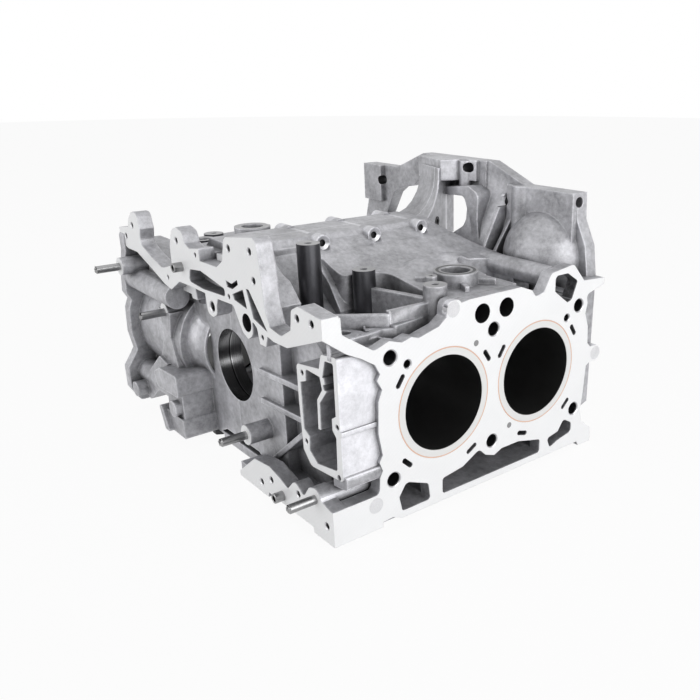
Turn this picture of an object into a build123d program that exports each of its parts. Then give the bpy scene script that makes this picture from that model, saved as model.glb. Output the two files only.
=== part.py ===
from build123d import *
import os
from math import atan2, cos, degrees, hypot, radians, sin, tan

# A bare flat-four engine block: two aluminium case halves that meet on the plane X = 0.
# Millimetres. X points to the left bank, Y rearwards, Z up. The origin is on the crank axis,
# on the front face of the front main bearing.

# Cylinders
bore_radius = 43.0
liner_wall = 6.2
liner_length = 111.0
skirt_clearance = 1.5
ring_width = 1.1
ring_depth = 1.6
bore_pitch = 113.0
bank_offset = 54.5
front_left_cylinder = 94.0
jacket_wall = 11.0

# Case
deck_height = 203.0
deck_thickness = 13.0
case_wall = 12.0
crank_radius = 80.0
main_bore_radius = 36.0
rear_seal_radius = 46.0
rear_seal_depth = 10.0
web_thickness = 22.0
front_web_depth = 25.0
rear_web_depth = 27.0
ridge_height = 120.0
ridge_half_width = 28.0
ridge_step = 5.0
roof_thickness = 14.0
rail_height = 95.0
rail_thickness = 9.0

# Front timing face
timing_y = -23.5
flange_depth = 15.0
pocket_y = -9.5
pocket_wall = 5.0
pocket_floor_depth = 30.0
front_wall_y = 12.0

# Rear bell
bell_rear = 300.0
bell_flange_depth = 14.0
bell_radius = 150.0
bell_wall = 12.0
bell_root_radius = 92.0
bell_height = 176.0
bell_shoulder_height = 156.0
bell_half_width = 175.0
bell_block_depth = 6.0
bell_top_depth = 22.0
bell_bolt_radius = 5.2
bell_post_radius = 11.5
window_rim = 14.0
ramp_left = -40.0
ramp_right = 31.0
ramp_turn = 0.3
ramp_wall = 8.0
ramp_top = 120.0
starter_x = 134.0
starter_z = 88.0
starter_radius = 47.5
starter_wall = 8.0

# Bolts, pins, dowels and plugs
head_bolt_radius = 7.2
head_bolt_depth = 34.0
bolt_rise = 54.25
bolt_boss_radius = 12.5
case_bolt_radius = 4.0
case_bolt_clearance = 0.5
case_bolt_head_radius = 6.0
case_bolt_head_height = 7.0
case_boss_radius = 8.0
case_boss_reach = 40.0
case_bolt_rise = 114.0
case_bolt_drop = 56.0
case_bolt_first = 82.0
case_bolt_pitch = 59.5
case_dowel_radius = 6.0
case_dowel_half_length = 8.0
pin_radius = 4.0
pin_reach = 25.0
pin_seat = 18.0
pin_boss_radius = 9.5
dowel_radius = 4.6
dowel_wall = 1.6
dowel_reach = 9.0
dowel_seat = 8.0
plug_radius = 7.0
plug_depth = 6.0
small_plug_radius = 2.8
small_plug_depth = 5.0
drain_plug_radius = 7.5
drain_plug_height = 6.0
drain_plug_shank = 5.0
socket_plug_radius = 5.2
socket_plug_depth = 7.0
thread_radius = 3.6
thread_depth = 16.0
small_thread_radius = 2.6
small_thread_depth = 12.0
passage_radius = 8.8
passage_depth = 40.0
head_dowel_radius = 4.4
head_dowel_depth = 14.0
water_slot_length = 13.0
water_slot_width = 4.6
water_slot_depth = 30.0

# Places worked out from the sizes above
left_cylinders = [front_left_cylinder, front_left_cylinder + bore_pitch]
right_cylinders = [y - bank_offset for y in left_cylinders]
liner_radius = bore_radius + liner_wall
liner_start = deck_height - liner_length
jacket_radius = liner_radius + jacket_wall
deck_inner = deck_height - deck_thickness
bank_root = crank_radius + case_wall
throws = sorted(left_cylinders + right_cylinders)
rear_web_start = throws[-1] + bank_offset / 2
case_rear = rear_web_start + rear_web_depth
bell_flange_front = bell_rear - bell_flange_depth
bell_root_y = case_rear - 6
drain_land = drain_plug_height + 0.5 - rail_height
web_centres = [(a + b) / 2 for a, b in zip(throws, throws[1:])]
web_spans = (
    [(0.0, front_web_depth)]
    + [(y - web_thickness / 2, y + web_thickness / 2) for y in web_centres]
    + [(rear_web_start, case_rear)]
)
upper_bolt_rows = [case_bolt_first + i * case_bolt_pitch for i in range(3)]
lower_bolt_rows = [(low + high) / 2 for low, high in web_spans[1:-1]]
LEFT, RIGHT = 1, -1
SHALLOW_TURN = 35
beyond = 1.0


def corner(before, point, after, radius):
    """The start, middle and end of the arc that rounds a corner, or None where it stays sharp."""
    back, on = Vector(*before) - Vector(*point), Vector(*after) - Vector(*point)
    half = radians(back.get_angle(on)) / 2
    if radius == 0 or 180 - 2 * degrees(half) < SHALLOW_TURN:
        return None
    reach = min(radius / tan(half), 0.48 * back.length, 0.48 * on.length)
    inward = (back.normalized() + on.normalized()).normalized()
    middle = inward * (reach / cos(half) - reach * tan(half))
    here = Vector(*point)
    return here + back.normalized() * reach, here + middle, here + on.normalized() * reach


def face(points):
    """A closed flat outline; a point with a third value has that corner radius."""
    places = [(p[0], p[1]) for p in points]
    radii = [p[2] if len(p) > 2 else 0 for p in points]
    count = len(places)
    edges, stops = [], []
    for i, place in enumerate(places):
        arc = corner(places[i - 1], place, places[(i + 1) % count], radii[i])
        if arc:
            edges.append(Edge.make_three_point_arc(*arc))
        stops.append((arc[0], arc[2]) if arc else (Vector(*place), Vector(*place)))
    for i in range(count):
        edges.append(Edge.make_line(stops[i - 1][1], stops[i][0]))
    return Face(Wire(edges))


def along_x(points, start, end):
    """A prism along X from an outline of (Y, Z) points."""
    return Plane.YZ.offset(start) * extrude(face(points), end - start, dir=(0, 0, 1))


def along_y(points, start, end):
    """A prism along Y from an outline of (X, Z) points."""
    plane = Plane(origin=(0, end, 0), x_dir=(1, 0, 0), z_dir=(0, -1, 0))
    return plane * extrude(face(points), end - start, dir=(0, 0, 1))


def along_z(points, start, end):
    """A prism along Z from an outline of (X, Y) points."""
    return Plane.XY.offset(start) * extrude(face(points), end - start, dir=(0, 0, 1))


def rod_x(radius, start, end, y, z):
    """A round bar along X."""
    bar = Cylinder(radius, abs(end - start), align=(Align.CENTER, Align.CENTER, Align.MIN))
    return Plane(origin=(min(start, end), y, z), x_dir=(0, 1, 0), z_dir=(1, 0, 0)) * bar


def rod_y(radius, start, end, x, z):
    """A round bar along Y."""
    bar = Cylinder(radius, end - start, align=(Align.CENTER, Align.CENTER, Align.MIN))
    return Plane(origin=(x, start, z), x_dir=(1, 0, 0), z_dir=(0, 1, 0)) * bar


def rod_z(radius, start, end, x, y):
    """A round bar along Z."""
    bar = Cylinder(radius, end - start, align=(Align.CENTER, Align.CENTER, Align.MIN))
    return Pos(x, y, start) * bar


def cone_y(front_radius, rear_radius, front, rear):
    """A cone along Y on the crank axis."""
    body = Cone(front_radius, rear_radius, rear - front, align=(Align.CENTER, Align.CENTER, Align.MIN))
    return Plane(origin=(0, front, 0), x_dir=(1, 0, 0), z_dir=(0, 1, 0)) * body


def cone_x(inner_radius, outer_radius, start, end, y):
    """A cone along X at the height of the crank."""
    body = Cone(inner_radius, outer_radius, end - start, align=(Align.CENTER, Align.CENTER, Align.MIN))
    return Plane(origin=(start, y, 0), x_dir=(0, 1, 0), z_dir=(1, 0, 0)) * body


def block(x, y, z):
    """A box from its spans in X, Y and Z."""
    size = [high - low for low, high in (x, y, z)]
    return Pos(x[0], y[0], z[0]) * Box(*size, align=(Align.MIN, Align.MIN, Align.MIN))


def to_right(shape):
    """The same shape on the right half, mirrored in the joint plane."""
    return mirror(shape, about=Plane.YZ)


def bank_frame(cylinders):
    """The Y of the front, middle and rear rows of head bolts of a bank."""
    half = bore_pitch / 2
    return cylinders[0] - half, cylinders[0] + half, cylinders[1] + half


# Cylinder banks, drawn on the left and mirrored for the right

def jackets(cylinders):
    """The water jackets of a bank, with the columns that take the head bolts."""
    root = bank_root - case_wall
    bodies = [rod_x(jacket_radius, root, deck_inner, y, 0) for y in cylinders]
    rise = 0.8 * jacket_radius
    bodies.append(block((root, deck_inner), (cylinders[0], cylinders[1]), (-rise, rise)))
    for y in bank_frame(cylinders):
        for z in (bolt_rise, -bolt_rise):
            bodies.append(rod_x(bolt_boss_radius, root, deck_inner, y, z))
    return bodies


def deck_outline_left():
    """The machined head face of the left bank, (Y, Z), from its low front corner."""
    f, m, r = bank_frame(left_cylinders)
    return [
        (timing_y, -rail_height), (timing_y, -63), (f - 15, -63, 5), (f - 14, -48), (f - 11, -42),
        (f - 14, -34), (f - 10.5, -28), (f - 14, -8), (f - 13, 20), (f - 9, 29.5), (f - 13.5, 38),
        (f - 10.5, 43), (f - 15, 52, 6), (f - 28, 60.5), (f - 41, 67), (timing_y, 82),
        (timing_y, rail_height + 2.5), (timing_y + 16.5, rail_height + 1.5), (timing_y + 17, 83, 4),
        (f - 15, 63.5, 6), (f - 0.5, 68.6), (f + 12, 64.5), (f + 22, 67), (f + 29, 64.5),
        (f + 50, 69.7), (f + 58.5, 76), (f + 60, 89, 6), (f + 72, 89, 5), (f + 75, 85.5),
        (m - 28, 86.6), (m + 33, 86.5), (r - 66, 81), (r - 61, 74, 5), (r - 50, 76.5),
        (r - 40.5, 92.5, 6), (r - 10, 96.3, 6), (r + 6, 78), (bell_rear, 76), (bell_rear, 69.5),
        (r + 11, 63, 8), (r + 13, 54), (r + 10.5, 44), (r + 15.5, 30), (r + 16.5, 12),
        (r + 21, 7.5), (r + 37, 7, 8), (r + 37, -9, 8), (r + 21, -9), (r + 16, -12), (r + 14, -37),
        (r + 11, -61), (r + 15, -73), (r + 29, -84), (r + 29, -99), (r + 11, -99), (r + 8, -94),
        (f + 8, -94), (f - 2, -89.5), (f - 37, -90), (timing_y + 20, -93),
    ]


def deck_outline_right():
    """The head face of the right bank, which lies further forward."""
    f, m, r = bank_frame(right_cylinders)
    return [
        (f - 23, -72, 8), (f - 23, -47, 10), (f - 14, -34), (f - 10.5, -28), (f - 14, -8),
        (f - 13, 20), (f - 9, 29.5), (f - 13.5, 38), (f - 12, 60), (f - 8, 84), (f - 8, 104, 5),
        (f + 16, 104, 6), (f + 20, 74), (f + 29, 64.5), (f + 50, 69.7), (f + 58.5, 76),
        (f + 60, 89, 6), (f + 72, 89, 5), (f + 75, 85.5), (m + 33, 86.5), (r - 66, 81),
        (r - 46, 68), (r + 2, 70), (r + 13, 54), (r + 10.5, 44), (r + 15.5, 30), (r + 14, -37),
        (r + 12, -61), (r + 24, -78), (r + 78, -84), (r + 82, -rail_height), (f + 8, -rail_height),
        (f - 2, -90), (f - 14, -88),
    ]


def deck_windows(cylinders):
    """Openings through a deck into the spaces beside the jackets, as (Y, Z) outlines."""
    f, m, r = bank_frame(cylinders)
    low = 7.5 - rail_height
    front = [(f + 5, -73, 3), (f + 13, -61, 5), (f + 37, -71, 4), (f + 39, low, 3), (f + 8, low, 3)]
    slot = [
        (f + 53, -72, 3), (f + 53, low, 3), (r - 48, low, 3), (r - 48, -73.5, 3), (m + 35, -66),
        (m + 13, -66), (m + 3, -70), (m - 8, -66), (m - 16, -58, 5), (m - 36, -68.5),
    ]
    rear = [
        (r - 37.5, -76, 3), (r - 22, -73), (r - 14, -62, 4), (r - 2, -69, 4), (r - 2, -79, 4),
        (r - 22, -83), (r - 33, low, 3),
    ]
    return [front, slot, rear]


def water_slots(cylinders):
    """Centre and turn of each water slot: they lie round the bores, square to the radius."""
    front = [(146, 57), (33, 58), (226, 60.5), (300, 62)]
    rear = [(146, 56), (32, 58.5), (314, 62.5), (254, 61)]
    places = []
    for centre, polar in zip(cylinders, (front, rear)):
        for angle, radius in polar:
            y = centre + radius * cos(radians(angle))
            z = radius * sin(radians(angle))
            places.append((y, z, angle + 90))
    return places


def water_slot(y, z, turn):
    """A blind slot with chamfered ends, milled in from the head face."""
    half, side = water_slot_length / 2, water_slot_width / 2
    tip = half - 0.6 * side
    outline = face([
        (tip, -side), (half, -0.4 * side), (half, 0.4 * side), (tip, side),
        (-tip, side), (-half, 0.4 * side), (-half, -0.4 * side), (-tip, -side),
    ])
    plane = Plane(origin=(deck_height - water_slot_depth, y, z), x_dir=(0, 1, 0), z_dir=(1, 0, 0))
    return plane * Rot(0, 0, turn) * extrude(outline, water_slot_depth + beyond, dir=(0, 0, 1))


def plug_places(side):
    """Centres (Y, Z) of the flush plugs in a head face."""
    if side == LEFT:
        f, m, r = bank_frame(left_cylinders)
        return [(f + 66, 81.5), (r + 29, -1.0), (f - 19, -72.0)]
    f, m, r = bank_frame(right_cylinders)
    return [(f + 66, 81.5), (f + 4, 94.0)]


def small_plug_places(cylinders):
    """Centres (Y, Z) of the small pressed plugs between the bores."""
    m = bank_frame(cylinders)[1]
    return [(m - 21, 46.0), (m + 22, -45.0)]


def deck_cuts(cylinders, side):
    """What is bored, drilled and milled in a head face."""
    f, m, r = bank_frame(cylinders)
    top = deck_height + beyond
    cuts = [rod_x(head_bolt_radius, deck_height - head_bolt_depth, top, y, z)
            for y in (f, m, r) for z in (bolt_rise, -bolt_rise)]
    cuts += [rod_x(passage_radius, deck_height - passage_depth, top, m + y, 71.5) for y in (-14, 15)]
    cuts += [rod_x(head_dowel_radius, deck_height - head_dowel_depth, top, y, 45)
             for y in (f + 17, r - 16.5)]
    cuts += [along_x(outline, bank_root + 4, top) for outline in deck_windows(cylinders)]
    cuts += [water_slot(*place) for place in water_slots(cylinders)]
    for y in cylinders:
        cuts.append(rod_x(liner_radius, liner_start, top, y, 0))
        cuts.append(rod_x(bore_radius + skirt_clearance, crank_radius - 30, liner_start + beyond, y, 0))
        cuts.append(rod_x(liner_radius + ring_width, deck_height - ring_depth, top, y, 0))
    cuts += [rod_x(plug_radius, deck_height - plug_depth, top, y, z) for y, z in plug_places(side)]
    cuts += [rod_x(small_plug_radius, deck_height - small_plug_depth, top, y, z)
             for y, z in small_plug_places(cylinders)]
    if side == LEFT:
        lobe = [(r - 35, 89, 4), (r - 18, 89, 4), (r - 3.5, 79.5, 3), (r - 11, 62, 4),
                (r - 17, 60.5), (r - 35, 74, 3)]
        cuts.append(along_x(lobe, deck_height - passage_depth, top))
    return cuts


# Crankcase, drawn on the left and mirrored for the right

def crankcase_shell():
    """The roof and side wall of one half."""
    outside = [
        (0, ridge_height), (ridge_half_width, ridge_height), (ridge_half_width + 3, ridge_height - ridge_step),
        (bank_root - 46, 106), (bank_root - 30, 96), (bank_root - 16, 84), (bank_root, 62),
        (bank_root, -rail_height), (bank_root - case_wall, -rail_height),
        (bank_root - case_wall, 50, 26), (bank_root - 46, 92), (0, ridge_height - roof_thickness),
    ]
    return along_y(outside, 0, case_rear)


def shoulder():
    """The smooth cast shoulder from the ridge down to the bank, behind the front pit."""
    front = front_left_cylinder - 36
    outside = [
        (20, ridge_height - 10), (ridge_half_width + 3, ridge_height - ridge_step), (53, 106, 30),
        (70, 99, 30), (86, 94, 20), (106, 92, 30), (150, 87), (150, 60), (40, 60),
    ]
    body = along_y(outside, front, rear_web_start + 14)
    for x, y, top, radius in ((97, 151, 98, 30), (122, 98, 94.5, 20), (92, 196, 97.5, 30)):
        body += Pos(x, y, top - radius) * Sphere(radius)
    pit = [(42, front - 12), (46, front + 7, 8), (60, front + 12), (88, front + 12, 8),
           (98, front + 54, 16), (150, front + 52), (190, front + 50), (190, front - 12)]
    rear_pit = [(100, 190, 8), (190, 190), (190, 226), (114, 226, 8)]
    hollow = [(0, 50), (bank_root - 50, 92), (bank_root - 14, 84), (bank_root - case_wall, 50)]
    body -= along_z(pit, 50, 130) + along_z(rear_pit, 62, 130)
    return body - along_y(hollow, 0, case_rear)


def front_pit():
    """The low roof over the first throw of the crank, and what is taken off above it."""
    surface = [(34, 107), (50, 86, 12), (72, 67, 12), (bank_root + 2, 52)]
    low = [(bank_root - case_wall, 44), (60, 54), (40, 72), (20, 96)]
    span = (front_web_depth + beyond, front_left_cylinder - 30)
    taken = along_y([(34, 140)] + surface + [(bank_root + 2, 140)], *span)
    return taken, along_y(surface + low, *span)


def webs():
    """The walls that carry the main bearings."""
    profile = [
        (0, -80), (0, ridge_height - 6), (ridge_half_width, ridge_height - 8),
        (bank_root - 42, 96), (bank_root - 6, 60), (bank_root - 4, 4 - rail_height),
        (58, 4 - rail_height), (34, -80),
    ]
    return [along_y(profile, low, high) for low, high in web_spans]


def rear_slope():
    """What is taken off the roof where it runs down to the bell."""
    start, foot, end = rear_web_start - 14, case_rear - 11, case_rear + beyond
    outline = [(start, 140), (start, ridge_height - 1), (foot, 92, 20), (end, 88), (end, 140)]
    return along_x(outline, -beyond, bank_root)


def case_bosses():
    """The bosses on the shoulder that the upper case bolts sink into."""
    return [rod_x(case_boss_radius, ridge_half_width - 8, case_boss_reach, y, case_bolt_rise)
            for y in upper_bolt_rows]


def crank_cuts():
    """The main bearing bore and the rear seal seat."""
    return [
        rod_y(main_bore_radius, -beyond, case_rear + beyond, 0, 0),
        rod_y(rear_seal_radius, case_rear - rear_seal_depth, case_rear + beyond, 0, 0),
    ]


def case_bolt_ends():
    """Y, Z and the distance from the joint to the bolt head seat, for each case bolt."""
    upper = [(y, case_bolt_rise, case_boss_reach - case_bolt_head_height - 5) for y in upper_bolt_rows]
    lower = [(y, -case_bolt_drop, bank_root - case_bolt_head_height) for y in lower_bolt_rows]
    return upper, lower


def case_bolt_cuts():
    """Clearance holes and head seats of the case bolts, and the seats of the joint dowels."""
    cuts = []
    for rows in case_bolt_ends():
        for y, z, seat in rows:
            cuts.append(rod_x(case_bolt_radius + case_bolt_clearance, -seat - beyond, seat + beyond, y, z))
            wide = case_bolt_head_radius + case_bolt_clearance
            far = bank_root + 20
            cuts += [rod_x(wide, seat, far, y, z), rod_x(wide, -far, -seat, y, z)]
    for y, z in case_dowel_places():
        cuts.append(rod_x(case_dowel_radius, -case_dowel_half_length, case_dowel_half_length, y, z))
    return cuts


def case_dowel_places():
    """Centres (Y, Z) of the dowels that place the two halves on each other."""
    drop = -main_bore_radius - 22
    return [(front_web_depth / 2, drop), ((rear_web_start + case_rear) / 2, drop)]


def case_bolts(rows):
    """Through bolts with a head on the left and a nut on the right."""
    bolts = []
    for y, z, seat in rows:
        bolt = rod_x(case_bolt_radius, -seat, seat, y, z)
        for start in (seat, -seat - case_bolt_head_height):
            plane = Plane(origin=(start, y, z), x_dir=(0, 1, 0), z_dir=(1, 0, 0))
            bolt += plane * extrude(RegularPolygon(case_bolt_head_radius, 6), case_bolt_head_height)
        bolts.append(bolt)
    return Compound(children=bolts)


def oil_rail():
    """The flat rail under the case that the oil pan bolts to, drawn on the left."""
    outer = deck_height - 6
    outline = [(0, 0), (outer, 0), (outer, bell_flange_front + 4), (0, bell_flange_front + 4)]
    inner = bank_root - case_wall - 8
    opening = [(-10, front_web_depth), (inner, front_web_depth, 8), (inner, rear_web_start, 8),
               (-10, rear_web_start)]
    low, high = -rail_height, rail_thickness - rail_height
    return along_z(outline, low, high) - along_z(opening, low - beyond, high + beyond)


# Front end of the left half

def left_timing_plate():
    """The machined timing face of the left half: the centre plate and the long arm."""
    end = deck_height
    outline = [
        (0, 77), (0, 106), (34, 106.5), (47, 114, 8), (54, 136, 8), (110, 144, 7), (115, 117),
        (117, 88, 20), (end - 80, 73), (end - 62, 70, 9), (end - 46, 79), (end - 43, 96, 5),
        (end - 33, 101, 5), (end, 98), (end, 82), (end - 19, 75), (end - 53, 62.5), (end - 75, 62),
        (118, 64), (114, 54), (104, 54),
        (101, 67, 3), (93, 72, 2), (92, 58, 8), (83, 53), (74, 57, 8), (68, 66), (60, 78, 5),
        (30, 77), (26, 70), (25, 61, 6), (16, 57, 7), (6, 59, 5), (4, 77),
    ]
    plate = along_y(outline, timing_y, timing_y + flange_depth)
    big = [(-2, 97), (46, 89.5, 3), (46, 82.5, 3), (-2, 80)]
    smile = [(50, 98), (61, 97), (72, 102.5), (73, 98.5), (62, 92.5), (52, 92.5)]
    middle = [(61, 88), (81, 96), (86, 80), (63, 83.5)]
    long = [(87, 98), (92, 98), (119, 68), (96, 74)]
    for window in (big, smile, middle, long):
        plate -= along_y(window, timing_y - beyond, timing_y + flange_depth + beyond)
    return plate


def left_front():
    """The front of the left half behind its timing face: bearing face, wall, link and ribs."""
    back = front_wall_y + 1
    bearing_face = [(0, -72), (0, 64), (30, 64), (62, 58), (66, 30), (62, -40, 16), (34, -66)]
    wall = [(40, -88), (40, 70), (bank_root + 34, 62), (145, 46), (145, -88)]
    link = [(4, 60), (6, 112), (40, 114), (56, 112, 10), (96, 100, 12), (112, 84), (106, 60)]
    core = [(0, 50), (0, 99), (46, 100), (88, 88), (96, 76), (90, 62)]
    parts = [
        along_y(bearing_face, 0, back),
        along_y(wall, front_wall_y, front_web_depth),
        along_y(link, timing_y + flange_depth - beyond, back)
        - along_y(core, timing_y, front_wall_y + 40),
    ]
    for low, high in ((13, 19), (-16, -10)):
        parts.append(along_y([(56, low - 4), (56, low + 1), (140, high), (140, high - 5)], -4, back))
    parts.append(along_y([(56, -80), (62, -82), (142, -18), (142, -12)], -2, back))
    return parts


def left_pocket():
    """The walled chamber beside the deck: its shell, its hollow and its dividing wall."""
    edge = deck_height - 5
    outline = [
        (edge - 61, 43, 4), (edge - 26, 48), (edge - 22, 61, 3), (edge, 64, 3), (edge, 15),
        (edge + 1, -42, 4), (edge - 12, -43), (edge - 48, -46, 8), (edge - 59, -34), (edge - 61, 10),
    ]
    inner = edge - pocket_wall
    hollow = [
        (edge - 56.5, 28), (edge - 48, 31), (edge - 47, 42, 3), (edge - 22, 41), (edge - 17, 57, 2),
        (inner, 58, 2), (inner, 14), (inner - 6, 10), (inner - 6, 0), (inner - 1, -5),
        (inner - 2, -35, 4), (edge - 38, -40), (edge - 49, -32), (edge - 48, -19), (edge - 56, -14),
    ]
    divider = [(x + edge, z) for x, z in (
        (-26, 42), (-20, 42), (-17, 31), (-28, 18), (-29, -6), (-32.5, -6), (-31.5, 20), (-23, 31),
    )]
    floor = pocket_y + pocket_floor_depth
    shell = along_y(outline, pocket_y, floor + 8)
    shell += along_y([(inner, 2.5), (edge + 2, 2), (edge + 2, -2), (inner, -2.5)], pocket_y, floor + 8)
    sill = [(edge - 16, -34), (edge + 4, -38, 4), (edge + 4, -49, 4), (edge - 16, -52)]
    shell += along_y(sill, pocket_y + 1.5, floor + 8)
    return shell, along_y(hollow, pocket_y - beyond, floor), along_y(divider, pocket_y, floor + beyond)


def low_flange():
    """The low front flange of the left half, which carries two pins and a dowel."""
    end, bottom, step = deck_height, -rail_height, 5 - rail_height
    outline = [
        (39, bottom), (39, -90), (72, -65, 6), (100, -62), (116, -66), (end - 72, -71, 4),
        (end - 59, -58, 6), (end - 45, -67, 5), (end - 35, -54, 5), (end - 25, -51, 5), (end - 16, -60, 5),
        (end, -64), (end, bottom), (end - 31, bottom), (end - 32, step), (95, step), (94, bottom),
    ]
    back = front_web_depth
    parts = [along_y(outline, timing_y, timing_y + 14)]
    parts.append(block((39, end), (timing_y + 2, back), (step, step + rail_thickness)))
    for low, high in ((39, 94), (end - 31, end)):
        parts.append(block((low, high), (timing_y + 2, back), (bottom, -82)))
    parts.append(block((deck_inner, end), (timing_y + 2, back + 5), (step, -63)))
    return parts


# Pins that stand out of the front: boss centre X and Z, Y of the boss face and of its root
left_pins = [(59.0, -46.0, timing_y, front_wall_y + 4), (deck_height - 26.5, -61.5, timing_y, 28.0)]
right_pins = [(-103.5, 34.5, timing_y, 30.0), (26.0 - deck_height, 71.0, timing_y - 14, -4.0)]
cover_dowel_places = [(121.0, -82.0), (-43.5, 93.0)]


def pin_bosses(places):
    """The cast bosses under the pins of one half."""
    return [rod_y(pin_boss_radius, face_y, root_y, x, z) for x, z, face_y, root_y in places]


def pin_cuts():
    """Seats of the pins and of the cover dowels."""
    cuts = [rod_y(pin_radius, y - beyond, y + pin_seat, x, z) for x, z, y, root in left_pins + right_pins]
    cuts += [rod_y(dowel_radius, timing_y - beyond, timing_y + dowel_seat, x, z)
             for x, z in cover_dowel_places]
    return cuts


def timing_holes():
    """Threaded holes and oil ports in the timing face and in the pocket's flange."""
    cuts = []
    end = deck_height
    threads = [
        (61, 127.5), (99, 131), (102, 107.5), (end - 35, 91), (end - 14, 91.5), (102, -74.5),
        (end - 54, -68.5), (83, -84), (end - 10, -79), (-49, 117), (18 - end, 101), (40.5 - end, 115.5),
    ]
    for x, z in threads:
        cuts.append(rod_y(thread_radius, timing_y - beyond, timing_y + thread_depth, x, z))
    for x, z in ((53, 84), (109, 61), (-9, 110), (-81, 75.5)):
        cuts.append(rod_y(small_thread_radius, timing_y - beyond, timing_y + small_thread_depth, x, z))
    for x, z, wide in ((16.5, 67, 5.5), (83, 67.5, 8)):
        cuts.append(rod_y(wide, timing_y - beyond, timing_y + thread_depth, x, z))
    for x, z in ((58, 37), (24, 34), (9, 5), (58.5, -25), (10, -40)):
        cuts.append(rod_y(small_thread_radius, pocket_y - beyond, pocket_y + small_thread_depth, end - x, z))
    return cuts


# Posts and bosses on the top of the left half: X, Y, top Z, foot Z, radius, hole radius
left_posts = [
    (75, 45, 125, 50, 10.5, 3.4),
    (101, 85, 100, 50, 10.5, 3.4),
    (175, 107, 97, 60, 10.5, 3.4),
    (156, 118, 99, 80, 5.5, 2.2),
    (154, 148.5, 99, 60, 20.5, 13.5),
]


def post_holes(posts):
    """The holes down the posts."""
    return [rod_z(hole, top - 24, top + beyond, x, y) for x, y, top, foot, radius, hole in posts]


def left_top():
    """Posts, the large ring boss, the walls between them, and the rear pipe boss."""
    parts = [rod_z(radius, foot, top, x, y) for x, y, top, foot, radius, hole in left_posts]
    side = deck_inner + 2
    parts.append(along_z([(98, 112, 6), (side, 108), (side, 188), (104, 188, 6)], 40, 87))
    parts.append(rod_x(11, bank_root + 6, deck_inner + beyond, front_left_cylinder + 141, 84))
    parts.append(along_z([(100, 82), (100, 88), (176, 110), (176, 104)], 45, 84))
    arm_wall = [(186, -10), (191, -10), (177, 58), (178, 104), (173, 104), (172, 58)]
    parts.append(along_z(arm_wall, 59, 83))
    slant = [(172, 98), (177, 98), (184, 58), (172, 36), (166, 38), (179, 58)]
    parts.append(along_z(slant, 45, 72))
    port = [(150, 14, 6), (160, 6, 6), (186, 24, 6), (180, 36, 6), (168, 34), (152, 28, 6)]
    parts.append(along_z(port, 30, 69))
    ring_x, ring_y = left_posts[-1][:2]
    for x, y in ((128, 175), (130, 122), (182, 136), (180, 172)):
        turn = degrees(atan2(y - ring_y, x - ring_x))
        reach = hypot(x - ring_x, y - ring_y) / 2 + 8
        parts.append(Pos(ring_x, ring_y, 84) * Rot(0, 0, turn) * Pos(reach, 0, 4) * Box(22, 4, 8))
    return parts


def port_holes():
    """The port and its bolt hole beside the pocket."""
    return [rod_z(6, 45, 70, 163, 21), rod_z(2.4, 55, 70, 177, 28)]


# Front end of the right half

drain_plug_place = (-61.0, 3.5)


def drain_cuts():
    """The step in the pan face that keeps the drain plug clear of it, and the plug's hole."""
    x, y = drain_plug_place
    step = block((-deck_height - beyond, x + 18), (timing_y - 20, y + 10), (-rail_height - beyond, drain_land))
    return [step, rod_z(drain_plug_shank, drain_land - beyond, drain_land + 2 * drain_plug_height, x, y)]


def right_front():
    """The front of the right half: arm with its two eyes, bearing face, link and low block."""
    end, back = -deck_height, front_wall_y + 1
    outline = [
        (0, 77), (0, 106), (-1, 117), (-21, 114), (-30, 117), (-34, 127, 6), (-47, 130, 8),
        (-58, 126, 8), (-66, 110), (-67, 90), (-88, 84), (-95, 83), (-122, 90), (-146, 99, 8),
        (-142, 114), (-147, 130, 6), (-160, 130, 8), (-171, 121, 6), (-175, 112), (end, 108),
        (end, 93), (-184, 88), (-158, 88), (-122, 77), (-92, 67), (-76, 64), (-53, 76.5), (-30, 77),
    ]
    plate = along_y(outline, timing_y, timing_y + flange_depth)
    big = [(1, 97), (-25, 94, 4), (-29, 82, 3), (1, 80)]
    plate -= along_y(big, timing_y - beyond, timing_y + flange_depth + beyond)
    bearing_face = [(0, -72), (0, 64), (-30, 64), (-60, 56), (-66, 30), (-66, -62), (-34, -68)]
    link = [(-1, 58), (-1, 112), (-46, 112), (-64, 88), (-66, 72), (-60, 56)]
    core = [(5, 45), (5, 100), (-30, 98), (-54, 84), (-48, 50)]
    wall = [(-40, -88), (-40, 62), (-96, 56), (-96, -88)]
    arm_back = [(-60, 84), (-122, 84), (-160, 94), (-198, 94), (-198, 60), (-60, 60)]
    return [
        plate,
        along_y(bearing_face, 0, back),
        along_y(wall, front_wall_y, front_web_depth),
        along_y(link, timing_y + flange_depth - beyond, back)
        - along_y(core, timing_y, front_wall_y + 40),
        along_y(arm_back, timing_y + flange_depth - beyond, front_wall_y + 6),
    ]


def barrel_front():
    """The front of the right barrel: its neck towards the crank and the rib down its middle."""
    y = right_cylinders[0]
    neck = to_right(cone_x(jacket_radius / 2, jacket_radius, main_bore_radius + 24, bank_root, y))
    room = block((-bank_root, 0), (y - jacket_radius, front_web_depth), (-jacket_radius, jacket_radius))
    rib = [(-119, 36), (-90, 36), (-96, 8, 20), (-84, -24), (-130, -24), (-112, 8, 20)]
    return [neck & room, along_y(rib, timing_y, y)]


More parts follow.
